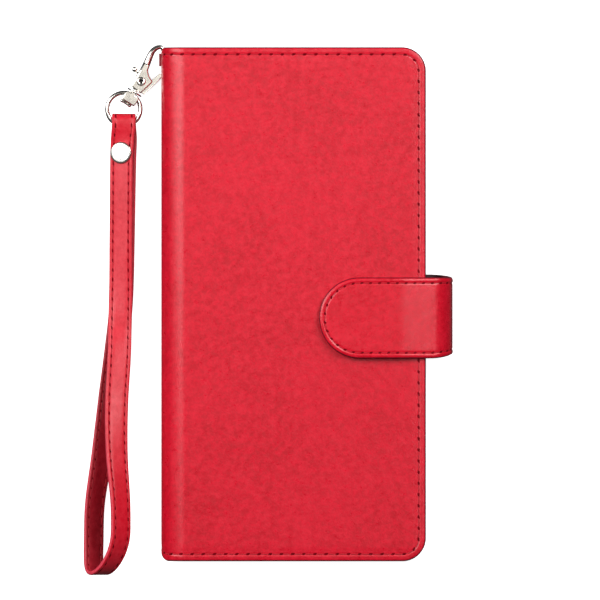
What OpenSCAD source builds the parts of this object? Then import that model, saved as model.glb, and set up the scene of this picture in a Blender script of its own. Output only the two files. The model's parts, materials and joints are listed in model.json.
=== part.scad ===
// Folio wallet case for a phone, lying on its back: two leather covers joined by a soft rounded
// spine, a phone shell and card pockets inside, a magnetic closing tab round the free edge, and a
// wrist strap clipped to a leather loop on the spine.
// Millimetres. Origin: centre of the back cover's outer face. +X free edge, +Y top, +Z front.

/* [Case] */
// Width from spine to free edge
case_w = 85; // [80:0.5:92]
// Height from bottom edge to top edge
case_h = 165; // [160:0.5:180]
// Thickness when closed, back face to front face
case_t = 20; // [19.5:0.5:23]
// Outer radius of the rounded spine bends
bend_r = 8; // [7:0.1:9]
// Corner radius of the covers at the top of the free edge
corner_top_r = 6.8; // [4:0.1:10]
// Corner radius of the covers at the bottom of the free edge
corner_bottom_r = 8.2; // [4:0.1:10]

/* [Cover layers] */
// Thickness of the outer leather
leather_t = 1.0; // [0.8:0.1:1.2]
// Thickness of the stiff board between the leather and the lining
board_t = 1.4; // [1:0.1:1.6]
// Thickness of the inner lining
lining_t = 0.6; // [0.4:0.1:0.8]
// Width of the sewn margin round each board
margin_w = 3.5; // [3:0.1:5]
// Distance of the seam from the cover's edge
seam_inset = 2.6; // [2:0.1:3]

/* [Phone shell] */
// Width of the phone that the shell holds
phone_w = 75.6; // [70:0.2:75.6]
// Height of the phone that the shell holds
phone_h = 154.4; // [140:0.2:158]
// Thickness of the phone that the shell holds
phone_t = 7.6; // [6:0.1:7.8]
// Wall thickness of the shell
shell_wall = 1.2; // [1:0.1:1.4]

/* [Closing tab] */
// Width of the tab along the case's height
tab_w = 26; // [20:0.5:30]
// Height of the tab's middle above the case's middle
tab_y = -4.4; // [-20:0.1:20]
// Reach of the tab past the free edge
tab_reach = 8.7; // [8.5:0.1:10]
// Position of the tab's round tip along X
tab_tip_x = 8.2; // [0:0.1:20]
// Thickness of the tab
tab_t = 2.2; // [2:0.1:2.6]

/* [Clasp] */
// Turn of the clasp's long axis from +Y towards +X, degrees
clasp_turn = 32; // [28:1:36]
// Radius of the hook's wire
hook_r = 0.7; // [0.6:0.05:0.75]
// Mean radius of the strap ring
ring_r = 5.35; // [5:0.05:5.6]
// Radius of the ring's wire
ring_wire_r = 0.7; // [0.6:0.05:0.8]

/* [Wrist strap] */
// Width of the strap
strap_w = 7.6; // [7:0.1:8]
// Thickness of one strap layer
strap_t = 1.3; // [1.1:0.1:1.5]
// Opening of the hand loop near its lower end
loop_gap = 13; // [10:0.5:14]
// Twist of the hand loop's lower end about its length, degrees
loop_twist = 39; // [30:1:45]

/* [Hidden] */
$fn = 64;

// Cover and spine profile
half_w = case_w / 2;
half_h = case_h / 2;
cover_t = leather_t + board_t + lining_t;
bend_x = -half_w + bend_r;
low_bend_z = bend_r;
high_bend_z = case_t - bend_r;
board_r = bend_r - leather_t;
lining_r = board_r - board_t;
inner_r = lining_r - lining_t;
crease_half_gap = 0.15;
far = 300;

// Camera window through the back, near the top of the free edge
window_x = 21;
window_y = 70;
window_w = 20;
window_h = 10;

// Seams
seam_w = 0.7;
seam_depth = 0.35;

// Phone shell
shell_w = phone_w + 2 * shell_wall;
shell_h = phone_h + 2 * shell_wall;
shell_t = phone_t + shell_wall + 0.4;
shell_x = half_w - 0.3 - shell_w / 2;
shell_corner_r = 9;
shell_lip = 0.5;
shell_edge_r = 2;

// Tab: one bend of radius tab_bend_r at each end of its wall
tab_bend_r = 6.5;
tab_out_x = half_w + tab_reach;
tab_bend_x = tab_out_x - tab_bend_r;
tab_low_z = 0.2;
tab_gap = 0.35;
tab_top_z = case_t + tab_gap + tab_t;
tab_low_bend_z = tab_low_z + tab_bend_r;
tab_high_bend_z = tab_top_z - tab_bend_r;
tab_lining_t = 0.9;
tongue_t = 1.2;
tongue_depth = 5;
magnet_x = 20;
magnet_w = 9;
magnet_l = 14;
magnet_t = 1.0;

// Pockets, stacked down from the front lining
pocket_t = 0.8;
cash_t = 1.2;
pocket_top_z = case_t - cover_t;
pocket_w = 62;
pocket_x = 4;
pocket_bottom_y = -66;
pocket_step = 14;
pocket_first_y = 30;

// Clasp, in its own frame: u runs from the swivel to the hook, v to the right
clasp_z = 3.05;
clasp_x = -49;
clasp_y = 71.65;
body_t = 3.4;
slot_t = 1.4;
gate_t = 1.1;
pin_r = 0.6;
pin_clearance = 0.05;
gate_boss_r = 1.5;
hook_x = bend_x - (bend_r + hook_r + 0.1) * cos(34);
hook_z = low_bend_z - (bend_r + hook_r + 0.1) * sin(34);
hook_top_y = 82.45;
hook_tip_y = 75;
hook_small_r = 0.97;
hook_big_r = 2.6;

// Leather loop on the spine that the hook passes through
loop_low_y = 76.5;
loop_high_y = 80.6;
loop_strip_t = 0.6;
loop_bore_r = hook_r + 0.12;

// Swivel and ring, as distances down the clasp's own axis
collar_top_u = -3.85;
collar_t = 0.5;
eye_low_u = -8.3;
eye_half_w = 2.3;
eye_half_t = 2.2;
eye_slot_half_t = 1.2;
ring_top_u = -5.2;
bar_drop = 3.75;
ring_u = ring_top_u - ring_r;
ring_x = clasp_x + ring_u * sin(clasp_turn);
ring_y = clasp_y + ring_u * cos(clasp_turn);

// Strap
strap_x = ring_x;
bar_y = ring_y - bar_drop;
bar_half = sqrt(pow(ring_r, 2) - pow(bar_drop, 2));
eyelet_gap = 2 * (ring_wire_r + 0.35) + strap_t;
closed_gap = strap_t + 0.1;
rivet_y = 48.7;
loop_start_y = -8;
loop_full_y = -66;
loop_end_y = -80.4;
strap_drift = -6.6;
strap_steps = 26;
fold_steps = 8;

// A solid with the given X-Z outline, as long as the given length along Y
module along_y(length) {
    rotate([90, 0, 0]) linear_extrude(length, center = true) children();
}

// Outline of a cover seen from the front: square at the spine, round at the free edge
module cover_outline(inset, left) {
    right = half_w - inset;
    top = half_h - inset;
    top_r = corner_top_r - inset;
    bottom_r = corner_bottom_r - inset;
    translate([left, -top]) square([right - left - corner_bottom_r, 2 * top]);
    translate([left, -top + bottom_r]) square([right - left, 2 * top - bottom_r - top_r]);
    translate([right - top_r, top - top_r]) circle(top_r);
    translate([right - bottom_r, -top + bottom_r]) circle(bottom_r);
    translate([right - corner_bottom_r, top - top_r]) square([corner_bottom_r - top_r, top_r]);
}

// Quarter ring round a bend's centre, between two radii
module quarter_ring(r_out, r_in, quadrant) {
    intersection() {
        difference() {
            circle(r_out);
            circle(r_in);
        }
        rotate(90 * quadrant) square(far);
    }
}

// C-shaped layer of the case, from the back cover round the spine to the front cover
module wrap_profile(r_out, r_in) {
    layer = r_out - r_in;
    translate([bend_x, low_bend_z]) quarter_ring(r_out, r_in, 2);
    translate([bend_x, high_bend_z]) quarter_ring(r_out, r_in, 1);
    translate([bend_x - r_out, low_bend_z]) square([layer, high_bend_z - low_bend_z]);
}

// Region of the X-Z plane that one body owns, cut back a little at the creases
module spine_region() {
    polygon([
        [bend_x - far, low_bend_z - far + crease_half_gap],
        [bend_x - crease_half_gap, low_bend_z],
        [bend_x - crease_half_gap, high_bend_z],
        [bend_x - far, high_bend_z + far - crease_half_gap]
    ]);
}

module back_region() {
    polygon([
        [bend_x - far, low_bend_z - far],
        [bend_x, low_bend_z],
        [far, low_bend_z],
        [far, low_bend_z - far]
    ]);
}

module front_region() {
    translate([0, case_t]) mirror([0, 1]) back_region();
}

// Bent strip of a cover's layer, from the spine crease to the start of the flat
module cover_bend(r_out, r_in, length, front) {
    along_y(length) intersection() {
        wrap_profile(r_out, r_in);
        if (front) front_region();
        if (!front) back_region();
        translate([bend_x - far, -far]) square([far, 2 * far]);
    }
}

// Flat layer of a cover between two heights
module cover_plate(inset, left, z_low, z_high) {
    translate([0, 0, z_low]) linear_extrude(z_high - z_low) cover_outline(inset, left);
}

// Channel or thread of a seam along the top, the free edge and the bottom of a cover
module cover_seam(z_low, z_high) {
    translate([0, 0, z_low]) linear_extrude(z_high - z_low) difference() {
        cover_outline(seam_inset - seam_w / 2, bend_x + 1);
        cover_outline(seam_inset + seam_w / 2, bend_x);
    }
}

// Rounded slot that the phone's camera looks through
module camera_window(extra, z_low, z_high) {
    r = window_h / 2 + extra;
    translate([window_x, window_y, z_low]) linear_extrude(z_high - z_low) {
        translate([-window_w / 2, -r]) square([window_w, 2 * r]);
        translate([-window_w / 2, 0]) circle(r);
        translate([window_w / 2, 0]) circle(r);
    }
}

// Room in the back cover's margin for the tab's tongue
module tongue_room() {
    translate([half_w - tongue_depth, tab_y - tab_w / 2, leather_t])
        cube([tongue_depth + 1, tab_w, board_t]);
}

module back_leather() {
    hem_z = leather_t + board_t;
    color("crimson") difference() {
        union() {
            cover_plate(0, bend_x, 0, hem_z);
            cover_bend(bend_r, lining_r, case_h, false);
        }
        cover_plate(margin_w, bend_x, leather_t, hem_z + 1);
        cover_seam(-1, seam_depth);
        camera_window(0, -1, hem_z + 1);
        tongue_room();
    }
}

module back_board() {
    color("tan") difference() {
        cover_plate(margin_w, bend_x, leather_t, leather_t + board_t);
        camera_window(0, 0, cover_t);
        tongue_room();
    }
}

module back_lining() {
    color("darkred") difference() {
        union() {
            cover_plate(0.3, bend_x, cover_t - lining_t, cover_t);
            cover_bend(lining_r, inner_r, case_h - 0.6, false);
        }
        camera_window(0, 0, cover_t + 1);
    }
}

module back_stitching() {
    color("firebrick") cover_seam(0.05, seam_depth);
}

module front_leather() {
    hem_z = case_t - leather_t - board_t;
    color("crimson") difference() {
        union() {
            cover_plate(0, bend_x, hem_z, case_t);
            cover_bend(bend_r, lining_r, case_h, true);
        }
        cover_plate(margin_w, bend_x, hem_z - 1, case_t - leather_t);
        cover_seam(case_t - seam_depth, case_t + 1);
    }
}

module front_board() {
    color("tan") difference() {
        cover_plate(margin_w, bend_x, case_t - leather_t - board_t, case_t - leather_t);
        keeper_room();
    }
}

module front_lining() {
    color("darkred") {
        cover_plate(0.3, bend_x, case_t - cover_t, case_t - cover_t + lining_t);
        cover_bend(lining_r, inner_r, case_h - 0.6, true);
    }
}

module front_stitching() {
    color("firebrick") cover_seam(case_t - seam_depth, case_t - 0.05);
}

// Steel plate let into the front board under the tab's magnet
module keeper_room() {
    translate([magnet_x - 7, tab_y - 9, case_t - leather_t - 0.6]) cube([14, 18, 1]);
}

module keeper_plate() {
    color("silver") intersection() {
        keeper_room();
        translate([-far, -far, 0]) cube([2 * far, 2 * far, case_t - leather_t]);
    }
}

module spine_layer(r_out, r_in, length) {
    along_y(length) intersection() {
        wrap_profile(r_out, r_in);
        spine_region();
    }
}

module spine_leather() {
    color("crimson") spine_layer(bend_r, board_r, case_h);
}

module spine_board() {
    color("tan") spine_layer(board_r, lining_r, case_h - 2 * margin_w);
}

module spine_lining() {
    color("darkred") spine_layer(lining_r, inner_r, case_h - 0.6);
}

// Folded leather strip sewn to the spine's lower bend; the hook's wire runs through it along Y
module lanyard_loop() {
    outer_r = loop_bore_r + loop_strip_t;
    length = loop_high_y - loop_low_y;
    color("crimson") translate([0, (loop_high_y + loop_low_y) / 2, 0]) along_y(length) difference() {
        union() {
            translate([hook_x, hook_z]) circle(outer_r);
            translate([hook_x - outer_r, hook_z]) square([2 * outer_r, 3.2]);
        }
        translate([hook_x, hook_z]) circle(loop_bore_r);
        translate([bend_x, low_bend_z]) circle(bend_r);
        translate([bend_x - bend_r, low_bend_z]) square([2 * bend_r, bend_r]);
        back_side();
    }
}

// Everything past the lower crease, which the loop keeps clear of
module back_side() {
    translate([bend_x, low_bend_z]) rotate(-136.5) square([far, far]);
}

// Shell

// Box with rounded upright edges
module round_box(w, h, t, r) {
    linear_extrude(t) round_rect(w, h, r);
}

module round_rect(w, h, r) {
    square([w - 2 * r, h], center = true);
    square([w, h - 2 * r], center = true);
    for (sx = [-1, 1], sy = [-1, 1])
        translate([sx * (w / 2 - r), sy * (h / 2 - r)]) circle(r);
}

module phone_shell() {
    floor_z = cover_t;
    inside_r = shell_corner_r - shell_wall;
    color("#26262a") difference() {
        translate([shell_x, 0, floor_z]) union() {
            translate([0, 0, shell_edge_r / 2])
                round_box(shell_w, shell_h, shell_t - shell_edge_r / 2, shell_corner_r);
            round_box(
                shell_w - shell_edge_r, shell_h - shell_edge_r, shell_t, shell_corner_r - shell_edge_r / 2
            );
        }
        translate([shell_x, 0, floor_z + shell_wall]) round_box(phone_w, phone_h, phone_t, inside_r);
        translate([shell_x, 0, floor_z + shell_wall])
            round_box(phone_w - 2 * shell_lip, phone_h - 2 * shell_lip, far, inside_r - shell_lip);
        camera_window(0, 0, floor_z + shell_wall + 1);
        // Room for the rise of the lining at the spine
        along_y(shell_h + 2) translate([bend_x, low_bend_z]) difference() {
            translate([-3, -low_bend_z]) square([3, low_bend_z - 3]);
            circle(inner_r - 0.05);
        }
        // Charging port and speaker, headphone socket, side buttons
        translate([shell_x - 24, -shell_h / 2 - 1, floor_z + 2.6]) cube([48, 4, 5]);
        translate([shell_x - 26, shell_h / 2 - 3, floor_z + 2.6]) cube([10, 4, 5]);
        translate([shell_x + shell_w / 2 - 3, 22, floor_z + 2.8]) cube([4, 14, far]);
        translate([shell_x - shell_w / 2 - 1, 22, floor_z + 2.8]) cube([4, 30, far]);
    }
}

// Pockets on the inside of the front cover

module cash_pocket() {
    w = case_w - 16;
    h = case_h - 14;
    color("firebrick") translate([pocket_x, 0, pocket_top_z - cash_t]) difference() {
        round_box(w, h, cash_t, 4);
        translate([-w / 2 - 1, -h / 2 + 2, 0.6]) cube([w - 1, h - 4, 0.4]);
    }
}

// One card pocket: a panel with a shallow thumb dip, open along its upper edge
module card_pocket(index) {
    top_y = pocket_first_y - index * pocket_step;
    low_z = pocket_top_z - cash_t - (index + 1) * pocket_t;
    h = top_y - pocket_bottom_y;
    color("crimson") translate([pocket_x, (top_y + pocket_bottom_y) / 2, low_z]) difference() {
        round_box(pocket_w, h, pocket_t, 2);
        translate([0, h / 2 + 10, -1]) cylinder(h = pocket_t + 2, r = 14);
    }
}

// Closing tab

module tab_span() {
    translate([0, tab_y, 0]) children();
}

// C-shaped layer of the tab, open towards the case
module tab_profile(r_out, r_in) {
    layer = r_out - r_in;
    translate([tab_bend_x, tab_low_bend_z]) quarter_ring(r_out, r_in, 3);
    translate([tab_bend_x, tab_high_bend_z]) quarter_ring(r_out, r_in, 0);
    translate([tab_bend_x + r_in, tab_low_bend_z]) square([layer, tab_high_bend_z - tab_low_bend_z]);
}

module tab_wall_region() {
    polygon([
        [tab_bend_x + crease_half_gap, tab_low_bend_z],
        [tab_bend_x + far, tab_low_bend_z - far + crease_half_gap],
        [tab_bend_x + far, tab_high_bend_z + far - crease_half_gap],
        [tab_bend_x + crease_half_gap, tab_high_bend_z]
    ]);
}

module tab_anchor() {
    neck_x = half_w + 0.3;
    color("crimson") tab_span() {
        translate([half_w - tongue_depth + 0.1, -tab_w / 2 + 0.1, leather_t + 0.1])
            cube([tongue_depth + 1, tab_w - 0.2, tongue_t]);
        along_y(tab_w) translate([neck_x, tab_low_z]) square([tab_bend_x - neck_x, tab_t]);
        along_y(tab_w) intersection() {
            tab_profile(tab_bend_r, tab_bend_r - tab_t);
            polygon([
                [tab_bend_x, tab_low_bend_z],
                [tab_bend_x, tab_low_bend_z - far],
                [tab_bend_x + far, tab_low_bend_z - far]
            ]);
        }
    }
}

module tab_wall_layer(r_out, r_in) {
    tab_span() along_y(tab_w) intersection() {
        tab_profile(r_out, r_in);
        tab_wall_region();
    }
}

module tab_wall_leather() {
    color("crimson") tab_wall_layer(tab_bend_r, tab_bend_r - tab_t + tab_lining_t);
}

module tab_wall_lining() {
    color("maroon") tab_wall_layer(tab_bend_r - tab_t + tab_lining_t, tab_bend_r - tab_t);
}

// Outline of the flap from above: straight sides and a round tip
module flap_outline(inset) {
    r = tab_w / 2 - inset;
    translate([tab_tip_x + tab_w / 2, 0]) circle(r);
    translate([tab_tip_x + tab_w / 2, -r]) square([tab_bend_x - tab_tip_x - tab_w / 2, 2 * r]);
}

module flap_layer(z_low, z_high, r_out, r_in) {
    tab_span() {
        translate([0, 0, z_low]) linear_extrude(z_high - z_low) flap_outline(0);
        along_y(tab_w) intersection() {
            tab_profile(r_out, r_in);
            polygon([
                [tab_bend_x, tab_high_bend_z],
                [tab_bend_x, tab_high_bend_z + far],
                [tab_bend_x + far, tab_high_bend_z + far]
            ]);
        }
    }
}

module flap_seam(z_low, z_high) {
    tab_span() translate([0, 0, z_low]) linear_extrude(z_high - z_low) intersection() {
        difference() {
            flap_outline(1.8 - seam_w / 2);
            flap_outline(1.8 + seam_w / 2);
        }
        translate([tab_tip_x, -tab_w / 2]) square([tab_bend_x - tab_tip_x - 1, tab_w]);
    }
}

module magnet_room() {
    middle_z = tab_top_z - tab_t + tab_lining_t;
    translate([magnet_x - magnet_w / 2, tab_y - magnet_l / 2, middle_z - magnet_t / 2])
        cube([magnet_w, magnet_l, magnet_t]);
}

module tab_flap_leather() {
    color("crimson") difference() {
        flap_layer(
            tab_top_z - tab_t + tab_lining_t, tab_top_z, tab_bend_r, tab_bend_r - tab_t + tab_lining_t
        );
        magnet_room();
        flap_seam(tab_top_z - seam_depth, tab_top_z + 1);
    }
}

module tab_flap_lining() {
    color("maroon") difference() {
        flap_layer(
            tab_top_z - tab_t, tab_top_z - tab_t + tab_lining_t,
            tab_bend_r - tab_t + tab_lining_t, tab_bend_r - tab_t
        );
        magnet_room();
    }
}

module tab_magnet() {
    color("dimgray") magnet_room();
}

module tab_stitching() {
    color("firebrick") flap_seam(tab_top_z - seam_depth, tab_top_z - 0.05);
}

// Clasp

// Places children drawn in the clasp's own frame: x is v, y is u
module in_clasp() {
    translate([clasp_x, clasp_y, clasp_z]) rotate([0, 0, -clasp_turn]) children();
}

module centred_plate(t) {
    linear_extrude(t, center = true) children();
}

// Arc of round wire of radius wire_r bent to radius r, from angle a0 to a1 in the X-Y plane
module wire_arc(r, wire_r, a0, a1) {
    rotate([0, 0, a0]) rotate_extrude(angle = a1 - a0) translate([r, 0]) circle(wire_r);
}

// Round rod between two points of the X-Y plane, with a radius at each end
module wire_run(from, to, from_r, to_r) {
    run = to - from;
    translate([from[0], from[1], 0]) rotate([0, 90, atan2(run[1], run[0])])
        cylinder(h = norm(run), r1 = from_r, r2 = to_r);
}

module hook_wire() {
    big = [hook_x - hook_small_r, hook_top_y - hook_big_r];
    small_y = hook_top_y - hook_small_r;
    stem_turn = 90 + 61;
    stem_top = big + hook_big_r * [cos(stem_turn), sin(stem_turn)];
    stem_low = stem_top - 8.2 * [sin(stem_turn), -cos(stem_turn)];
    // The stem tapers and overlaps the start of the bow
    translate([0, 0, hook_z]) {
        wire_run(stem_low, stem_top, 1.1, 0.85);
        translate([big[0], big[1], 0]) wire_arc(hook_big_r, hook_r, 90, stem_turn + 8);
        translate([big[0], small_y, 0]) wire_arc(hook_small_r, hook_r, 0, 90);
        wire_run([hook_x, small_y], [hook_x, hook_tip_y], hook_r, hook_r);
        translate([hook_x, hook_tip_y, 0]) sphere(hook_r);
    }
}

module clasp_body() {
    color("#e6dccb") difference() {
        union() {
            hook_wire();
            in_clasp() centred_plate(body_t)
                polygon([
                    [-2.1, -3.8], [1.8, -3.8], [3.3, 1.8], [0.3, 3.2], [0.1, 6], [-2.2, 6], [-2.3, 3]
                ]);
        }
        in_clasp() centred_plate(slot_t) polygon([[-6, -2.6], [6, -2.6], [6, 3], [-6, 3]]);
        in_clasp() cylinder(h = body_t + 1, r = pin_r, center = true);
        // Seat of the swivel's post and of its head
        in_clasp() rotate([90, 0, 0]) cylinder(h = 5, r = 0.8);
        in_clasp() translate([0, -2.6, 0]) rotate([90, 0, 0]) cylinder(h = 0.6, r = 1.3, center = true);
    }
}

module clasp_rivet() {
    head_r = 1.25;
    color("#cfc6b4") in_clasp() {
        cylinder(h = body_t, r = pin_r, center = true);
        for (side = [-1, 1])
            translate([0, 0, side * (body_t / 2 + 0.15)]) cylinder(h = 0.3, r = head_r, center = true);
    }
}

module gate_spring() {
    color("silver") in_clasp() translate([0, 0, gate_t / 2]) difference() {
        cylinder(h = 0.12, r = 1.2);
        translate([0, 0, -1]) cylinder(h = 2, r = 0.8);
    }
}

module clasp_gate() {
    color("#d9cfbd") in_clasp() difference() {
        union() {
            centred_plate(gate_t) {
                circle(gate_boss_r);
                polygon([
                    [0, -1.4], [2.3, -2.4], [3.9, 1], [4.7, 3.5], [4.6, 5.4], [3.7, 5.7], [2.3, 2], [0, 1.4]
                ]);
                polygon([[0, -0.6], [-4.1, 1.5], [-4.1, 2.9], [0, 1.3]]);
            }
            translate([-4.1, 2.2, 0]) cylinder(h = 2.4, r = 0.8, center = true);
        }
        cylinder(h = gate_t + 1, r = pin_r + pin_clearance, center = true);
    }
}

// Swivel: head and post inside the clasp, then a collar with a through eye for the ring
module swivel_eye() {
    slot_top_u = collar_top_u - collar_t;
    post_top_u = -2.6;
    color("#e6dccb") in_clasp() difference() {
        union() {
            translate([0, post_top_u + 0.25, 0]) rotate([90, 0, 0]) cylinder(h = 0.45, r = 1.2);
            translate([0, post_top_u, 0]) rotate([90, 0, 0])
                cylinder(h = post_top_u - slot_top_u, r = 0.75);
            translate([0, collar_top_u, 0]) rotate([90, 0, 0]) cylinder(h = collar_t, r = 2.6);
            translate([-eye_half_w, eye_low_u, -eye_half_t])
                cube([2 * eye_half_w, slot_top_u - eye_low_u, 2 * eye_half_t]);
        }
        translate([-far / 2, ring_top_u - 2.1, -eye_slot_half_t])
            cube([far, slot_top_u - ring_top_u + 2.1, 2 * eye_slot_half_t]);
    }
}

// D-ring: a round bow through the swivel's eye, and a straight bar in the strap's fold
module strap_ring() {
    corner = asin(bar_drop / ring_r);
    color("#e6dccb") translate([ring_x, ring_y, clasp_z]) {
        wire_arc(ring_r, ring_wire_r, -corner, 180 + corner);
        wire_run([-bar_half, -bar_drop], [bar_half, -bar_drop], ring_wire_r, ring_wire_r);
        for (side = [-1, 1])
            translate([side * bar_half, -bar_drop, 0]) sphere(ring_wire_r);
    }
}

// Wrist strap: one ribbon swept along a closed loop

function smooth(t) = let (c = min(max(t, 0), 1)) c * c * (3 - 2 * c);
function mix(a, b, t) = a + (b - a) * t;

// Distance between the two strands' middles at a height y
function strand_gap(y) =
    y > loop_start_y
        ? mix(eyelet_gap, closed_gap, smooth((bar_y - 2 - y) / 6))
        : mix(closed_gap, loop_gap, smooth((loop_start_y - y) / (loop_start_y - loop_full_y)));

// Twist of the loop about its length at a height y
function strand_twist(y) = loop_twist * smooth((loop_start_y - 6 - y) / 45);

// Height of the strap's middle above the surface that it lies on
function strap_rest_z(y) =
    let (gap = strand_gap(y), twist = strand_twist(y))
    (gap + strap_t) / 2 * cos(twist) + strap_w / 2 * sin(twist) + 0.1;

function strap_middle(y) = [
    strap_x - 0.7 * smooth((60 - y) / 20) + strap_drift * smooth((-5 - y) / 82),
    y,
    mix(clasp_z, strap_rest_z(y), smooth((rivet_y - 5 - y) / 26))
];

// Directions across the gap and across the ribbon's width
function gap_way(y) = [sin(strand_twist(y)), 0, cos(strand_twist(y))];
function width_way(y) = [cos(strand_twist(y)), 0, -sin(strand_twist(y))];

// One ring of the sweep: middle, outward direction, width direction
function strand_ring(y, side) = let (out = side * gap_way(y))
    [strap_middle(y) + out * strand_gap(y) / 2, out, width_way(y)];

function fold_ring(y, angle, up, reach) =
    let (out = cos(angle) * gap_way(y) + sin(angle) * [0, up, 0])
    let (half = strand_gap(y) / 2)
    [strap_middle(y) + half * cos(angle) * gap_way(y) + [0, up * reach * sin(angle), 0], out, width_way(y)];

function ring_corners(ring, width, t) = [
    for (corner = [[1, 1], [-1, 1], [-1, -1], [1, -1]])
        ring[0] + ring[1] * corner[1] * t / 2 + ring[2] * corner[0] * width / 2
];

function strap_rings() = concat(
    [for (i = [0:strap_steps - 1]) strand_ring(mix(bar_y, loop_end_y, i / strap_steps), 1)],
    [for (i = [0:fold_steps - 1]) fold_ring(loop_end_y, 180 * i / fold_steps, -1, loop_gap / 2)],
    [for (i = [0:strap_steps - 1]) strand_ring(mix(loop_end_y, bar_y, i / strap_steps), -1)],
    [for (i = [0:fold_steps - 1]) fold_ring(bar_y, 180 - 180 * i / fold_steps, 1, eyelet_gap / 2)]
);

module swept_ribbon(rings, width, t) {
    count = len(rings);
    points = [for (ring = rings) each ring_corners(ring, width, t)];
    faces = [
        for (i = [0:count - 1], k = [0:3])
            let (a = i * 4, b = (i + 1) % count * 4, m = (k + 1) % 4)
            each [[a + k, b + m, b + k], [a + k, a + m, b + m]]
    ];
    polyhedron(points, faces);
}

module strap_leather() {
    color("crimson") difference() {
        swept_ribbon(strap_rings(), strap_w, strap_t);
        strap_threads();
    }
}

module strap_stitching() {
    color("firebrick") strap_threads();
}

// Two thread lines on the outer face of the front strand
module strap_threads() {
    for (side = [-1, 1]) {
        for (i = [0:22]) {
            y = 42 - 3.4 * i;
            middle = strap_middle(y);
            top = strand_gap(y) / 2 + strap_t / 2;
            translate(middle + gap_way(y) * (top + 0.05) + width_way(y) * side * 2.4)
                rotate([0, strand_twist(y), 0]) cube([0.5, 2.4, 0.3], center = true);
        }
    }
}

module strap_rivet() {
    middle = strap_middle(rivet_y);
    top = (closed_gap + strap_t) / 2;
    dome_r = 8;
    cap_r = 3.5;
    color("#f2efe8") translate(middle) {
        cylinder(h = 2 * top, r = 1, center = true);
        translate([0, 0, top]) cylinder(h = 0.5, r = cap_r);
        translate([0, 0, top]) intersection() {
            translate([0, 0, 0.5 + dome_r - 0.8 - 2 * dome_r + 1.6]) sphere(dome_r);
            cylinder(h = 1.4, r = cap_r);
        }
        translate([0, 0, -top - 0.6]) cylinder(h = 0.6, r = 3);
    }
}

back_leather();
back_board();
back_lining();
back_stitching();
phone_shell();
tab_anchor();
spine_leather();
spine_board();
spine_lining();
lanyard_loop();
front_leather();
front_board();
front_lining();
front_stitching();
keeper_plate();
cash_pocket();
card_pocket(0);  // card_pocket_1
card_pocket(1);  // card_pocket_2
card_pocket(2);  // card_pocket_3
tab_wall_leather();
tab_wall_lining();
tab_flap_leather();
tab_flap_lining();
tab_magnet();
tab_stitching();
clasp_body();
clasp_rivet();
gate_spring();
clasp_gate();
swivel_eye();
strap_ring();
strap_leather();
strap_stitching();
strap_rivet();
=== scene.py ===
# Looks of a red folio wallet case for a phone. The imported CAD model is the frame: it gives every
# size and place, and each piece made here rides on one of its bodies or stays fixed where it was built.
# Lengths below are millimetres until make_mesh() turns them into metres.
import json
import math
import random
import bpy
import bmesh
import numpy as np
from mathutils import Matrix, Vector


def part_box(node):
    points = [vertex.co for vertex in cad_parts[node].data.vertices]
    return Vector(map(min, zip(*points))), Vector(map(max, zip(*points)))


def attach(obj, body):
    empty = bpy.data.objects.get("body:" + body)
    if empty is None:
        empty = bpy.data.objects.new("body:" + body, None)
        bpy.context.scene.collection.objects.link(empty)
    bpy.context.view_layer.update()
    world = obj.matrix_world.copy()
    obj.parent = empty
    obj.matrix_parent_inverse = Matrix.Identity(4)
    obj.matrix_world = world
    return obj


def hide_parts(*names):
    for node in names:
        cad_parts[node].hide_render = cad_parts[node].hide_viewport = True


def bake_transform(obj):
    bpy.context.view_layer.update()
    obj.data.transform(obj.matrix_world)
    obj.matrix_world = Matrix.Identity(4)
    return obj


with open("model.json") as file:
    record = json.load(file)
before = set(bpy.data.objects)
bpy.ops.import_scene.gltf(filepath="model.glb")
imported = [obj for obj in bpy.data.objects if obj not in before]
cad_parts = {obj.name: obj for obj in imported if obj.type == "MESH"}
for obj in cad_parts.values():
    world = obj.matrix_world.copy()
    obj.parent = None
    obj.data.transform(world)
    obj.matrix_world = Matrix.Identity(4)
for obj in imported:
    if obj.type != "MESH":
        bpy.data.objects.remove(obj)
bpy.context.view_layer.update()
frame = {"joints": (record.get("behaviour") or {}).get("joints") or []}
MM = 0.001
RNG = random.Random(7)
# A face with this many corners or more is a flat cap, and is shaded flat
CAP_CORNERS = 7


def box_mm(node):
    """Lowest and highest corner of a CAD node's box in millimetres."""
    low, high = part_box(node)
    return np.array(low) / MM, np.array(high) / MM


def joint(name):
    """Place in millimetres and unit axis of a joint."""
    found = [j for j in frame["joints"] if j["name"] == name][0]
    return np.array(found["pos_m"]) / MM, np.array(found["axis"], float)


# ---------------------------------------------------------------- sizes from the frame
FRONT_HIGH = box_mm("front_leather")[1]
CASE_T = FRONT_HIGH[2]
HALF_W = FRONT_HIGH[0]
HALF_H = FRONT_HIGH[1]
CREASE = joint("cover_fold")[0]
# A hinge lies on the bend's outer face, 45 degrees round it.
BEND_R = (CREASE[0] + HALF_W) / (1 - math.sqrt(0.5))
BEND_X = -HALF_W + BEND_R
WALL = CASE_T / 2 - BEND_R
ARC = BEND_R * math.pi / 2
FLAT_START = WALL + ARC
SHEET_LENGTH = FLAT_START + HALF_W - BEND_X
TOP_R, BOTTOM_R = 7.7, 7.5
MARGIN = 3.4
HEM_T = 2.4
LEATHER_T = 1.0
COVER_T = 3.0
EDGE_ROUND = 0.75
SEAM_INSET = 2.3
SEAM_START = 0.6
STITCH_PITCH = 3.6
# The camera's window through the back cover: a slot with round ends
WINDOW_AT = (21, 70)
WINDOW_STRAIGHT = 20
WINDOW_HIGH = 10

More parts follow.
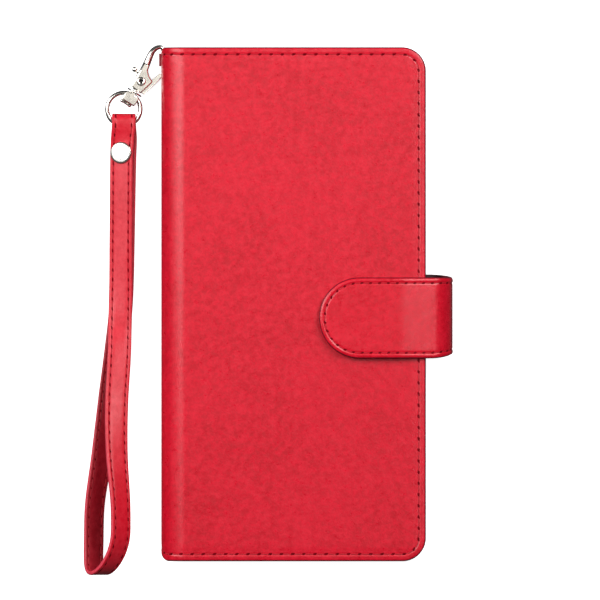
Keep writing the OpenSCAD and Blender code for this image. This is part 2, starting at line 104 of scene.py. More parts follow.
TAB_LOW, TAB_HIGH = box_mm("tab_flap_leather")
TAB_TOP = TAB_HIGH[2]
TAB_MIDDLE = (TAB_LOW[1] + TAB_HIGH[1]) / 2
TAB_HALF = (TAB_HIGH[1] - TAB_LOW[1]) / 2
TAB_TIP = TAB_LOW[0]
TAB_OUT = box_mm("tab_wall_leather")[1][0]
TAB_T = TAB_TOP - box_mm("tab_flap_lining")[0][2]
TAB_BOTTOM = 0.2
TAB_CREASE = joint("tab_flap_fold")[0]
TAB_BEND_R = (TAB_OUT - TAB_CREASE[0]) / (1 - math.sqrt(0.5))
TAB_BEND_X = TAB_OUT - TAB_BEND_R

CLASP_AT, _ = joint("gate_press")
CLASP_U = -joint("swivel_spin")[1]
CLASP_V = np.array([CLASP_U[1], -CLASP_U[0], 0.0])
HOOK_AT = joint("clasp_swing")[0]
BAR_AT = joint("strap_fold")[0]


# ---------------------------------------------------------------- mesh helpers
def make_mesh(name, points, faces, materials, face_slots=None, sharp=40):
    """A mesh object from points in millimetres, smooth except at edges sharper than the angle given."""
    mesh = bpy.data.meshes.new(name)
    mesh.from_pydata([tuple(p) for p in np.asarray(points) * MM], [], [tuple(f) for f in faces])
    for material in materials:
        mesh.materials.append(material)
    if face_slots is not None:
        mesh.polygons.foreach_set("material_index", list(face_slots))
    work = bmesh.new()
    work.from_mesh(mesh)
    bmesh.ops.remove_doubles(work, verts=work.verts, dist=1e-7)
    bmesh.ops.recalc_face_normals(work, faces=work.faces)
    work.to_mesh(mesh)
    work.free()
    mesh.shade_smooth()
    mesh.set_sharp_from_angle(angle=math.radians(sharp))
    for face in mesh.polygons:
        face.use_smooth = len(face.vertices) < CAP_CORNERS
    piece = bpy.data.objects.new(name, mesh)
    bpy.context.scene.collection.objects.link(piece)
    return piece


def place(piece, body, slot, *replaced):
    """The piece rides on the body named by body; given (a, b, start, end) in its place, the piece stays
    fixed where it was built.
    """
    if isinstance(body, str):
        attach(piece, body)
    else:
        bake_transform(piece)
    if replaced:
        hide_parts(*replaced)
    return piece


def slab(name, outer, inner, faces, materials, slots):
    """Closed solid between two layers of points. The rim takes material 1 and the inner layer 2."""
    count = len(outer)
    every = [list(f) for f in faces] + [[i + count for i in f][::-1] for f in faces]
    slots = list(slots) + [2] * len(faces)
    edges = {}
    for f in faces:
        for a, b in zip(f, list(f[1:]) + [f[0]]):
            edges[(a, b)] = edges.get((a, b), 0) + 1
    for a, b in edges:
        if (b, a) not in edges:
            every.append([b, a, a + count, b + count])
            slots.append(1)
    return make_mesh(name, np.concatenate([outer, inner]), every, materials, slots)


def grid_faces(rows, cols):
    return [
        [r * cols + c, r * cols + c + 1, (r + 1) * cols + c + 1, (r + 1) * cols + c]
        for r in range(rows - 1)
        for c in range(cols - 1)
    ]


def smooth_step(t):
    t = np.clip(t, 0, 1)
    return t * t * (3 - 2 * t)


def rounded_drop(distance, radius):
    """How far a rounded edge falls below the face, at a distance from the outline."""
    d = np.clip(distance, 0, radius)
    return radius - np.sqrt(np.maximum(radius ** 2 - (radius - d) ** 2, 0))


def frames_along(path, closed, up):
    """Side and normal directions at each point of a path."""
    if closed:
        tangent = np.roll(path, -1, 0) - np.roll(path, 1, 0)
    else:
        tangent = np.gradient(path, axis=0)
    tangent /= np.linalg.norm(tangent, axis=1)[:, None]
    side = np.cross(tangent, up)
    side /= np.linalg.norm(side, axis=1)[:, None]
    return side, np.cross(side, tangent)


def curve(knots):
    """Smooth line through knots of any width."""
    k = np.asarray(knots, float)
    k = np.concatenate([[2 * k[0] - k[1]], k, [2 * k[-1] - k[-2]]])
    steps = np.linspace(0, 1, 7, endpoint=False)
    line = []
    for i in range(1, len(k) - 2):
        for t in steps:
            a = 2 * k[i] + (k[i + 1] - k[i - 1]) * t
            b = (2 * k[i - 1] - 5 * k[i] + 4 * k[i + 1] - k[i + 2]) * t**2
            c = (3 * k[i] - k[i - 1] - 3 * k[i + 1] + k[i + 2]) * t**3
            line.append((a + b + c) / 2)
    line.append(k[-2])
    return np.array(line)


def tube(path, radii, sides, closed=False, up=(0, 0, 1)):
    """Points and faces of round wire along a path, with domed ends unless it is closed."""
    path = np.asarray(path, float)
    radii = np.broadcast_to(np.asarray(radii, float), len(path)).copy()
    if not closed:
        first = path[0] - path[1]
        last = path[-1] - path[-2]
        first *= radii[0] / np.linalg.norm(first)
        last *= radii[-1] / np.linalg.norm(last)
        dome = [(0.995, 0.1), (0.8, 0.6), (0.45, 0.893)]
        start = [path[0] + first * reach for reach, _ in dome]
        end = [path[-1] + last * reach for reach, _ in dome[::-1]]
        narrow = np.array([size for _, size in dome])
        path = np.concatenate([start, path, end])
        radii = np.concatenate([radii[0] * narrow, radii, radii[-1] * narrow[::-1]])
    side, normal = frames_along(path, closed, up)
    angle = np.linspace(0, 2 * math.pi, sides, endpoint=False)
    sideways = side[:, None] * np.cos(angle)[None, :, None]
    upwards = normal[:, None] * np.sin(angle)[None, :, None]
    points = (path[:, None] + (sideways + upwards) * radii[:, None, None]).reshape(-1, 3)
    faces = []
    count = len(path)
    for i in range(count if closed else count - 1):
        for k in range(sides):
            a, b = i * sides + k, i * sides + (k + 1) % sides
            c, d = (i + 1) % count * sides + (k + 1) % sides, (i + 1) % count * sides + k
            faces.append([a, b, c, d])
    if not closed:
        faces.append(list(range(sides))[::-1])
        faces.append([(count - 1) * sides + k for k in range(sides)])
    return points, faces


def lathe(profile, segments=40):
    """Points and faces of a profile of (radius, height) turned about Z. A zero radius closes the end."""
    angle = np.linspace(0, 2 * math.pi, segments, endpoint=False)
    points = [[r * math.cos(a), r * math.sin(a), z] for r, z in profile for a in angle]
    faces = []
    for i in range(len(profile) - 1):
        for k in range(segments):
            a, b = i * segments + k, i * segments + (k + 1) % segments
            faces.append([a, b, b + segments, a + segments])
    return np.array(points), faces


def join(parts):
    """One set of points and faces from several."""
    points, faces, base = [], [], 0
    for p, f in parts:
        points.append(np.asarray(p))
        faces += [[i + base for i in face] for face in f]
        base += len(p)
    return np.concatenate(points), faces


def plate(outline, low, high, bevel, segments=3):
    """Points and faces of a flat outline between two heights, with rounded edges."""
    work = bmesh.new()
    bottom = [work.verts.new((x, y, low)) for x, y in outline]
    face = work.faces.new(bottom)
    lifted = bmesh.ops.extrude_face_region(work, geom=[face])["geom"]
    for v in [g for g in lifted if isinstance(g, bmesh.types.BMVert)]:
        v.co.z = high
    bmesh.ops.recalc_face_normals(work, faces=work.faces)
    bmesh.ops.bevel(
        work,
        geom=list(work.edges),
        offset=bevel,
        segments=segments,
        profile=0.5,
        affect="EDGES",
        clamp_overlap=True,
    )
    work.verts.index_update()
    points = np.array([v.co[:] for v in work.verts])
    faces = [[v.index for v in f.verts] for f in work.faces]
    work.free()
    return points, faces


def clasp_space(points):
    """Points (v, u, z) along the clasp's own directions, carried to where the clasp lies."""
    p = np.asarray(points, float)
    return CLASP_AT + p[:, :1] * CLASP_V + p[:, 1:2] * CLASP_U + p[:, 2:3] * np.array([0, 0, 1.0])


# ---------------------------------------------------------------- materials
def linear(red, green, blue):
    """A screen colour, 0 to 255, in linear light."""
    return tuple(
        c / 255 / 12.92 if c <= 10 else ((c / 255 + 0.055) / 1.055) ** 2.4 for c in (red, green, blue)
    ) + (1,)


class Nodes:
    """A material's node tree, with short calls for the nodes that the materials here share."""

    def __init__(self, name):
        self.material = bpy.data.materials.new(name)
        self.material.use_nodes = True
        self.tree = self.material.node_tree
        self.shader = self.tree.nodes["Principled BSDF"]
        self.place = self.add("ShaderNodeTexCoord").outputs["Object"]

    def add(self, kind, **values):
        node = self.tree.nodes.new(kind)
        for key, value in values.items():
            setattr(node, key, value)
        return node

    def link(self, source, target):
        self.tree.links.new(source, target)

    def stretched(self, scale, turn=(0, 0, 0)):
        node = self.add("ShaderNodeMapping")
        node.inputs["Scale"].default_value = scale
        node.inputs["Rotation"].default_value = turn
        self.link(self.place, node.inputs["Vector"])
        return node.outputs["Vector"]

    def noise(self, per_metre, detail=4.0, rough=0.55, distortion=0.0, vector=None, ridged=False):
        node = self.add("ShaderNodeTexNoise")
        if ridged:
            node.noise_type = "RIDGED_MULTIFRACTAL"
        node.inputs["Scale"].default_value = per_metre
        node.inputs["Detail"].default_value = detail
        node.inputs["Roughness"].default_value = rough
        node.inputs["Distortion"].default_value = distortion
        self.link(vector or self.place, node.inputs["Vector"])
        return node.outputs["Fac"]

    def cells(self, per_metre, vector):
        node = self.add("ShaderNodeTexVoronoi", feature="DISTANCE_TO_EDGE")
        node.inputs["Scale"].default_value = per_metre
        self.link(vector, node.inputs["Vector"])
        return node.outputs["Distance"]

    def ramp(self, source, low, high, to_low=0.0, to_high=1.0):
        node = self.add("ShaderNodeMapRange")
        limits = {"From Min": low, "From Max": high, "To Min": to_low, "To Max": to_high}
        for key, value in limits.items():
            node.inputs[key].default_value = value
        self.link(source, node.inputs["Value"])
        return node.outputs["Result"]

    def mix(self, factor, first, second):
        node = self.add("ShaderNodeMix", data_type="RGBA")
        self.link(factor, node.inputs[0])
        for value, socket in ((first, node.inputs[6]), (second, node.inputs[7])):
            if isinstance(value, tuple):
                socket.default_value = value
            else:
                self.link(value, socket)
        return node.outputs[2]

    def bump(self, height, depth_mm, strength=1.0, after=None):
        node = self.add("ShaderNodeBump")
        node.inputs["Strength"].default_value = strength
        node.inputs["Distance"].default_value = depth_mm * MM
        self.link(height, node.inputs["Height"])
        if after is not None:
            self.link(after, node.inputs["Normal"])
        return node.outputs["Normal"]

    def finish(self, colour=None, rough=None, normal=None, **fixed):
        if colour is not None:
            self.link(colour, self.shader.inputs["Base Color"])
        if rough is not None:
            self.link(rough, self.shader.inputs["Roughness"])
        if normal is not None:
            self.link(normal, self.shader.inputs["Normal"])
        for key, value in fixed.items():
            self.shader.inputs[key.replace("_", " ")].default_value = value
        return self.material


def leather(name, deep, mid, light, grain=1.0, gloss=0.3, scars=0.35):
    """Pull-up leather: cloudy colour, pale stretch lines, fine creased grain."""
    deep, mid, light = (linear(*shade) for shade in (deep, mid, light))
    n = Nodes(name)
    clouds = n.ramp(n.noise(42, 5, 0.6, 0.6), 0.34, 0.68)
    flecks = n.ramp(n.noise(520, 5, 0.75, 0.3), 0.38, 0.62)
    lines = n.noise(30, 6, 0.55, 1.4, n.stretched((1.0, 1.7, 1.0), (0, 0, 0.6)), ridged=True)
    scar = n.ramp(lines, 1.05, 1.7)
    colour = n.mix(n.ramp(clouds, 0, 1, 0.1, 0.85), deep, mid)
    colour = n.mix(n.ramp(flecks, 0, 1, 0.0, 0.65), colour, light)
    colour = n.mix(n.ramp(scar, 0, 1, 0.0, scars), colour, light)
    creases = n.cells(1150, n.stretched((1.0, 0.8, 1.0)))
    pebbles = n.noise(2300, 3, 0.6)
    normal = n.bump(n.ramp(creases, 0.0, 0.24), 0.03 * grain, 0.4)
    normal = n.bump(pebbles, 0.04 * grain, 0.35, normal)
    normal = n.bump(n.noise(120, 3, 0.5), 0.25 * grain, 0.2, normal)
    rough = n.ramp(n.noise(500, 3, 0.6), 0.3, 0.7, gloss - 0.04, gloss + 0.08)
    return n.finish(colour, rough, normal, Specular_IOR_Level=0.5)


def plain(name, dark, pale, per_metre, rough, bump_mm, **fixed):
    """A fine-grained surface of two close colours."""
    dark, pale = (linear(*shade) for shade in (dark, pale))
    n = Nodes(name)
    fine = n.noise(per_metre, 4, 0.6)
    colour = n.mix(n.ramp(fine, 0.35, 0.65), dark, pale)
    normal = n.bump(n.noise(per_metre * 2.5, 3, 0.6), bump_mm, 0.6)
    return n.finish(colour, n.ramp(fine, 0.3, 0.7, rough - 0.04, rough + 0.05), normal, **fixed)


def metal(name, tint, rough, brushed=0.0):
    """Plated metal with faint handling marks."""
    n = Nodes(name)
    marks = n.noise(900, 4, 0.65, 0.0, n.stretched((1.0, 1.0 + 8 * brushed, 1.0), (0, 0, 0.56)))
    smears = n.noise(180, 3, 0.6, 0.8)
    shaded = tuple(c * 0.9 for c in tint[:3]) + (1,)
    colour = n.mix(n.ramp(smears, 0.3, 0.7), shaded, tint)
    normal = n.bump(marks, 0.01 + 0.01 * brushed, 0.25)
    return n.finish(colour, n.ramp(smears, 0.3, 0.7, rough, rough + 0.1), normal, Metallic=1.0)


# leather() and plain() take screen colours, 0 to 255, and metal() takes a tint in linear light
RED_DEEP = (196, 0, 28)
RED_MID = (214, 4, 38)
RED_LIGHT = (242, 26, 54)
COVER = leather("cover_leather", RED_DEEP, RED_MID, RED_LIGHT)
TAB_RED = leather("tab_leather", (202, 0, 28), (218, 6, 38), RED_LIGHT, 0.8, 0.27, 0.2)
STRAP_RED = leather("strap_leather", (206, 2, 30), (222, 12, 42), (234, 46, 64), 0.8, 0.36, 0.15)
STRAP_INSIDE = leather("strap_inside", (150, 4, 24), (178, 12, 36), (196, 40, 56), 1.4, 0.46, 0.3)
LINING = leather("lining_leather", (120, 10, 24), (146, 16, 32), (160, 30, 44), 0.6, 0.55, 0.05)
TAB_LINING = leather("tab_lining", (46, 8, 12), (60, 10, 16), (76, 16, 22), 0.6, 0.55, 0.05)
POCKET = leather("pocket_leather", (186, 16, 36), (208, 28, 48), (222, 56, 70), 0.7, 0.46, 0.1)
# Rims of the leather: dark edge paint, darkened further to paint in the shade that the rounded sides fall
# into
EDGE_PAINT_AND_SHADE = plain("edge_paint_and_shade", (112, 8, 28), (136, 14, 36), 700, 0.42, 0.05)
# Strap's rims: pink edge paint, made paler than the strap's leather as a painted highlight of the light
# falling on them
STRAP_EDGE_PAINT_AND_HIGHLIGHT = plain("strap_edge_paint_and_highlight", (224, 52, 72), (240, 78, 98), 700, 0.45, 0.05)
# Needle holes: a dark rough colour that paints in the shade inside each hole
HOLE_SHADE = plain("needle_hole_shade", (104, 0, 10), (126, 0, 16), 900, 0.9, 0.03, Specular_IOR_Level=0.1)
THREAD = plain("red_thread", (178, 14, 34), (204, 30, 48), 3500, 0.6, 0.08)
SHELL = plain("shell_plastic", (30, 30, 33), (40, 40, 43), 2600, 0.5, 0.03)
NICKEL = metal("nickel_plate", (0.9, 0.86, 0.79, 1), 0.09)
# Near-black metal that paints the shade inside the hollow rivets
RECESS_SHADE = metal("rivet_hole_shade", (0.03, 0.028, 0.026, 1), 0.5)
SNAP = metal("snap_metal", (0.74, 0.73, 0.68, 1), 0.24)
STEEL = metal("plain_steel", (0.62, 0.61, 0.6, 1), 0.3, 1.0)
MAGNET = metal("magnet_plate", (0.42, 0.42, 0.43, 1), 0.25)
BOARD = plain("bookbinders_board", (150, 128, 98), (176, 154, 122), 1500, 0.85, 0.08)


# ---------------------------------------------------------------- sheets bent round a corner
# A sheet with a slope starts to fall this far before its bend
SLOPE_RUN = 9.8


class Bend:
    """A sheet that stands upright for half its wall, turns a quarter bend, then lies flat."""

    def __init__(self, x, radius, low, high, side, up, slope=0.0):
        self.x, self.radius, self.side, self.up, self.slope = x, radius, side, up, slope
        self.middle = (low + high) / 2
        self.wall = (high - low) / 2 - radius
        self.flat = self.wall + radius * math.pi / 2

    def turn(self, s):
        return np.clip((s - self.wall) / self.radius, 0, math.pi / 2)

    def point(self, s, y, depth):
        """Points at lengths s from mid-wall and depths below the outer face."""
        turn = self.turn(s)
        r = self.radius - depth
        x = self.x + self.side * (r * np.cos(turn) - np.maximum(s - self.flat, 0))
        rise = self.wall - np.maximum(self.wall - s, 0) + r * np.sin(turn)
        past = self.side * (x - self.x) + SLOPE_RUN
        sag = self.slope * np.maximum(past, 0) * smooth_step(past / 1.5) * smooth_step(rise / 8)
        return np.stack([x, y + 0 * x, self.middle + self.up * (rise - sag)], -1)

    def facing(self, s):
        turn = self.turn(s)
        return np.stack([self.side * np.cos(turn), 0 * turn, self.up * np.sin(turn)], -1)


class Outline:
    """A sheet's outline: a free end with two round corners, and straight sides back to mid-wall."""

    def __init__(self, length, half, top_r, bottom_r, drawn_in):
        self.length, self.half, self.radii, self.drawn_in = length, half, (top_r, bottom_r), drawn_in

    def limit(self, s, inset, low):
        """Distance of the top (0) or bottom (1) side from the middle at s, drawn in by inset."""
        r = self.radii[low] - inset
        t = min(max((s - (self.length - inset - r)) / r, 0), 1)
        return self.half - inset - r * (1 - math.sqrt(max(1 - t * t, 0))) - self.drawn_in(s, low)

    def way_out(self, s, y, inset):
        """Outward direction at a point of the outline drawn in by inset."""
        r = self.radii[0 if y > 0 else 1] - inset
        t = min(max((s - (self.length - inset - r)) / r, 0), 1)
        if abs(y) < self.half - inset - r - 1e-6:
            return 1.0, 0.0
        return t, math.copysign(math.sqrt(max(1 - t * t, 0)), y)

    def columns(self, straight, inset):
        """Positions along the sheet: the given ones, then closer ones round the corners."""
        end = self.length - inset
        reach = max(self.radii) - inset
        turns = np.linspace(0, math.pi / 2, 19)
        before = [s for s in straight if s < end - reach - 0.3]
        return before + [end - reach * (1 - math.sin(a)) for a in turns]

    def line(self, inset, start):
        """Points (s, y) round the three free sides, drawn in by inset."""
        s_line = self.columns(np.arange(start, self.length, 0.8), inset)
        top = [(s, self.limit(s, inset, 0)) for s in s_line]
        return np.array(top + [(s, -self.limit(s, inset, 1)) for s in s_line[::-1]])


class Sheet:
    """Points of a flat sheet with their edge distances: a core grid, and rings round three sides."""

    def __init__(self, outline, rings, straight, rows, inset=0.0):
        core = rings[-1] + inset
        s_line = outline.columns(straight, core)
        last = len(s_line) - 1
        points, index = [], {}
        for j, s in enumerate(s_line):
            top, bottom = outline.limit(s, core, 0), -outline.limit(s, core, 1)
            for i, t in enumerate(np.linspace(1, 0, rows)):
                index[(i, j)] = len(points)
                points.append((s, bottom + (top - bottom) * t, rings[-1]))
        faces = [
            [index[(i, j)], index[(i + 1, j)], index[(i + 1, j + 1)], index[(i, j + 1)]]
            for i in range(rows - 1)
            for j in range(last)
        ]
        border = [(0, j) for j in range(last + 1)] + [(i, last) for i in range(1, rows)]
        border += [(rows - 1, j) for j in range(last - 1, -1, -1)]
        inner = [index[b] for b in border]
        base = [points[k] for k in inner]
        ways = [outline.way_out(s, y, core) for s, y, _ in base]
        for d in rings[-2::-1]:
            reach = core - d - inset
            ring = list(range(len(points), len(points) + len(border)))
            points += [(s + w[0] * reach, y + w[1] * reach, d) for (s, y, _), w in zip(base, ways)]
            faces += [[inner[k], inner[k + 1], ring[k + 1], ring[k]] for k in range(len(ring) - 1)]
            inner = ring
        self.s, self.y, self.d = np.array(points).T
        self.faces = faces


COVER_FRONT = Bend(BEND_X, BEND_R, 0, CASE_T, -1, 1)
COVER_BACK = Bend(BEND_X, BEND_R, 0, CASE_T, -1, -1)


def spine_corner(s, low):
    """How far a cover's end edge draws in where the spine's corner is rounded."""
    radius = (0.6, 2.0)[low]
    x = COVER_FRONT.point(np.array(s, float), 0.0, 0.0)[..., 0]
    t = np.clip(1 - (x + HALF_W) / radius, 0, 1)
    return radius * (1 - np.sqrt(1 - t * t))


COVER_OUTLINE = Outline(SHEET_LENGTH, HALF_H, TOP_R, BOTTOM_R, spine_corner)


def seam_channel(d):
    return 0.13 * np.exp(-(((d - SEAM_INSET) / 0.3) ** 2))


def cover_face_depth(d):
    """Outer leather: rounded edge, soft swell by the seam, sunk seam, and the step of the board beneath."""
    margin = 0.06 * (1 - smooth_step((d - 3.0) / 1.6))
    swell = 0.06 * np.exp(-(((d - 1.5) / 0.5) ** 2))
    return rounded_drop(d, EDGE_ROUND) + seam_channel(d) + margin - swell + 0.02


COVER_RINGS = [0, 0.04, 0.1, 0.2, 0.34, 0.5, 0.68, 0.9, 1.2, 1.5, 1.75, 1.95, 2.1, 2.25]
COVER_RINGS += [2.38, 2.5, 2.62, 2.75, 2.9, 3.1, 3.38, 3.42, 3.8, 4.3, 4.8]
COVER_COLUMNS = [0, WALL * 0.5] + list(np.linspace(WALL, FLAT_START, 31))
COVER_COLUMNS += list(np.arange(FLAT_START + 1.5, SHEET_LENGTH, 1.8))


def outer_sheet(name, bend):
    sheet = Sheet(COVER_OUTLINE, COVER_RINGS, COVER_COLUMNS, 90)
    stiff = (sheet.d < MARGIN) | (sheet.s < FLAT_START + 0.1)
    inner_depth = np.where(stiff, HEM_T, LEATHER_T) - rounded_drop(sheet.d, 0.3)
    outer = bend.point(sheet.s, sheet.y, cover_face_depth(sheet.d))
    inner = bend.point(sheet.s, sheet.y, inner_depth)
    # Faces on the rounded rim take the dark rim colour: edge paint with painted shade
    painted = [1 if sheet.d[f].max() < 0.42 else 0 for f in sheet.faces]
    return slab(name, outer, inner, sheet.faces, [COVER, EDGE_PAINT_AND_SHADE, LINING], painted)


def inner_sheet(name, bend):
    rings = [0, 0.08, 0.25, 0.5, 1.0, 1.6, 1.9, 2.1, 2.2, 2.35, 2.6, 3.2, 4.4]
    sheet = Sheet(COVER_OUTLINE, rings, COVER_COLUMNS[::2], 40, 0.3)
    face = COVER_T - rounded_drop(sheet.d, 0.25) - 0.12 * np.exp(-(((sheet.d - 2.2) / 0.35) ** 2))
    outer = bend.point(sheet.s, sheet.y, face)
    inner = bend.point(sheet.s, sheet.y, HEM_T + 0.005)
    return slab(name, outer, inner, sheet.faces, [LINING, EDGE_PAINT_AND_SHADE, LINING], [0] * len(sheet.faces))


def cut(piece, points, faces):
    """The piece with a closed shape taken out of it."""
    tool = make_mesh("cutter", points, faces, list(piece.data.materials))
    modifier = piece.modifiers.new("cut", "BOOLEAN")
    modifier.operation = "DIFFERENCE"
    modifier.solver = "EXACT"
    modifier.object = tool
    baked = bpy.data.meshes.new_from_object(piece.evaluated_get(bpy.context.evaluated_depsgraph_get()))
    piece.modifiers.clear()
    piece.data = baked
    bpy.data.objects.remove(tool)
    return piece


def slot_outline(centre, straight, high):
    """Outline of a slot with round ends lying along x."""
    r = high / 2
    turn = np.linspace(-math.pi / 2, math.pi / 2, 14)
    right = [(centre[0] + straight / 2 + r * math.cos(a), centre[1] + r * math.sin(a)) for a in turn]
    left = [(centre[0] - straight / 2 - r * math.cos(a), centre[1] - r * math.sin(a)) for a in turn]
    return right + left


# ---------------------------------------------------------------- stitches
def between(at, run, rows):
    """Rows of values read off at distances along a line, where run holds each row's own distance."""
    return np.stack([np.interp(at, run, rows[:, k]) for k in range(3)], -1)


def seam_places(line, pitch):
    """Evenly spaced places and directions along a line of points."""
    run = np.concatenate([[0], np.cumsum(np.linalg.norm(np.diff(line, axis=0), axis=1))])
    count = max(int(round(run[-1] / pitch)), 2)
    at = (np.arange(count) + 0.5) * run[-1] / count
    way = between(np.minimum(at + 0.2, run[-1]), run, line) - between(np.maximum(at - 0.2, 0), run, line)
    return between(at, run, line), way / np.linalg.norm(way, axis=1)[:, None], at, run


def oval(centre, way, normal, long, wide, high, slant):
    """Points and faces of a flat slanted oval, the needle's hole, coloured dark as painted shade."""
    side = np.cross(normal, way)
    along = way * math.cos(slant) + side * math.sin(slant)
    across = np.cross(normal, along)
    sides = 14
    points = [centre + normal * high, centre - normal * high]
    for lift, size in ((0.6, 0.8), (0.0, 1.0), (-0.6, 0.8)):
        for a in np.linspace(0, 2 * math.pi, sides, endpoint=False):
            lengthwise = along * long * size * math.cos(a)
            crosswise = across * wide * size * math.sin(a)
            points.append(centre + lengthwise + crosswise + normal * high * lift)
    upper, edge, lower = (2 + sides * level for level in range(3))
    faces = []
    for k in range(sides):
        n = (k + 1) % sides
        faces.append([0, upper + k, upper + n])
        faces.append([upper + k, edge + k, edge + n, upper + n])
        faces.append([edge + k, lower + k, lower + n, edge + n])
        faces.append([1, lower + n, lower + k])
    return np.array(points), faces


def seam(name, line, normals, pitch, hole=(0.78, 0.48), thread=0.2, sunk=0.16, slant=0.6):
    """Needle holes along a line at a surface's level, dark ovals of painted shade, with thread lying
    between them.
    """
    spots, ways, at, run = seam_places(line, pitch)
    lift = np.sin(np.linspace(0, math.pi, 7))
    parts, slots = [], []
    for k, spot in enumerate(spots):
        normal = between(at[k], run, normals)
        normal /= np.linalg.norm(normal)
        jitter = RNG.uniform(-0.07, 0.07)
        long = hole[0] * RNG.uniform(0.9, 1.1)
        # The dark oval is the shade inside the needle's hole, painted in as colour
        parts.append(oval(spot - normal * 0.05, ways[k], normal, long, hole[1], 0.09, slant + jitter))
        slots += [0] * len(parts[-1][1])
        if k + 1 == len(spots):
            continue
        steps = np.linspace(at[k] + hole[0] * 0.5, at[k + 1] - hole[0] * 0.5, len(lift))
        path = [between(q, run, line) - normal * (sunk - 0.09 * rise) for q, rise in zip(steps, lift)]
        parts.append(tube(path, thread * (0.8 + 0.2 * lift), 8, up=tuple(normal)))
        slots += [1] * len(parts[-1][1])
    points, faces = join(parts)
    return make_mesh(name, points, faces, [HOLE_SHADE, THREAD], slots, 60)


def seam_line(bend, depth):
    """Line of the seam round a cover's free sides, with the directions that it faces."""
    s, y = COVER_OUTLINE.line(SEAM_INSET, SEAM_START).T
    return bend.point(s, y, depth), bend.facing(s)


def covers():
    front = ("spine", "front_cover", (-HALF_W, 0, CASE_T - BEND_R), (BEND_X, 0, CASE_T))
    back = ("back_cover", "spine", (BEND_X, 0, 0), (-HALF_W, 0, BEND_R))
    skin = outer_sheet("front_skin", COVER_FRONT)
    place(skin, front, "cover_leather", "front_leather", "spine_leather", "spine_board")
    place(inner_sheet("front_inside", COVER_FRONT), front, "lining", "front_lining", "spine_lining")
    window = plate(slot_outline(WINDOW_AT, WINDOW_STRAIGHT, WINDOW_HIGH), -1, 4, 0.01, 1)
    place(cut(outer_sheet("back_skin", COVER_BACK), *window), back, "cover_leather", "back_leather")
    place(cut(inner_sheet("back_inside", COVER_BACK), *window), back, "lining", "back_lining")
    for name, way, bend in (("front", front, COVER_FRONT), ("back", back, COVER_BACK)):
        line, normals = seam_line(bend, 0.11)
        place(seam(name + "_seam", line, normals, STITCH_PITCH), way, "thread", name + "_stitching")
        line, normals = seam_line(bend, COVER_T - 0.1)
        inside = seam(name + "_inner_seam", line, -normals, STITCH_PITCH, (0.4, 0.25), 0.17, 0.08)
        place(inside, way, "thread")


# ---------------------------------------------------------------- closing tab
TAB_SLOPE = 0.07
TAB_HIGH_BEND = Bend(TAB_BEND_X, TAB_BEND_R, TAB_BOTTOM, TAB_TOP, 1, 1, TAB_SLOPE)
TAB_LOW_BEND = Bend(TAB_BEND_X, TAB_BEND_R, TAB_BOTTOM, TAB_TOP, 1, -1)
TAB_LENGTH = TAB_HIGH_BEND.flat + TAB_BEND_X - TAB_TIP
TAB_TAIL = TAB_LOW_BEND.flat + TAB_BEND_X - HALF_W
TAB_SEAM = 1.8
TAB_NARROWING = 1.2
TAB_THINNING = 0.55
# Width of the tab's rim that takes the dark rim colour, edge paint with painted shade
TAB_PAINTED = 0.36
TAB_RINGS = [0, 0.04, 0.1, 0.2, 0.34, 0.5, 0.7, 0.85, 1.0, 1.2, 1.4, 1.55, 1.68, 1.8, 1.92, 2.05, 2.25]
TAB_RINGS += [2.6, 3.2]


def tab_taper(s, low):
    """The tab narrows a little along its bottom side from the top bend down to mid-wall."""
    if low == 0:
        return 0.0
    return TAB_NARROWING * float(smooth_step((TAB_HIGH_BEND.flat + 1 - s) / (TAB_HIGH_BEND.flat - 1)))


TAB_OUTLINE = Outline(TAB_LENGTH, TAB_HALF, TAB_HALF - 0.05, TAB_HALF - 0.05, tab_taper)


def tab_face_depth(d):
    """Outer face of the tab: round edge, a swollen rim outside the seam, the sunk seam."""
    swell = 0.1 * np.exp(-(((d - 1.05) / 0.45) ** 2))
    channel = 0.15 * np.exp(-(((d - TAB_SEAM) / 0.3) ** 2))
    return rounded_drop(d, 0.7) + channel - swell + 0.06


def tab_thinning(s):
    """The padding inside the tab thins out over its last stretch before the high bend."""
    return TAB_THINNING * np.clip(1 - (s - TAB_HIGH_BEND.flat) / SLOPE_RUN, 0, 1)


def tab_slab(name):
    """The tab from its tip over the front and round the high bend to mid-wall."""
    columns = [0, 2.3] + list(np.linspace(TAB_HIGH_BEND.wall, TAB_HIGH_BEND.flat, 25))
    columns += list(np.arange(TAB_HIGH_BEND.flat + 1.2, TAB_LENGTH, 1.5))
    sheet = Sheet(TAB_OUTLINE, TAB_RINGS, columns, 30)
    y = sheet.y + TAB_MIDDLE
    outer = TAB_HIGH_BEND.point(sheet.s, y, tab_face_depth(sheet.d) + tab_thinning(sheet.s))
    inner = TAB_HIGH_BEND.point(sheet.s, y, TAB_T - rounded_drop(sheet.d, 0.4))
    # Faces on the rounded rim take the dark rim colour: edge paint with painted shade
    painted = [1 if sheet.d[f].max() < TAB_PAINTED else 0 for f in sheet.faces]
    return slab(name, outer, inner, sheet.faces, [TAB_RED, EDGE_PAINT_AND_SHADE, TAB_LINING], painted)


def tab_lean(s):
    """The tab's lower part runs a little upwards to where it joins the back cover."""
    return 1.0 * smooth_step(s / TAB_TAIL)


def tab_seam(name):
    s, y = TAB_OUTLINE.line(TAB_SEAM, 0.4).T
    line = TAB_HIGH_BEND.point(s, y + TAB_MIDDLE, 0.1 + tab_thinning(s))
    return seam(name, line, TAB_HIGH_BEND.facing(s), 2.85, (0.64, 0.4), 0.17, 0.14)


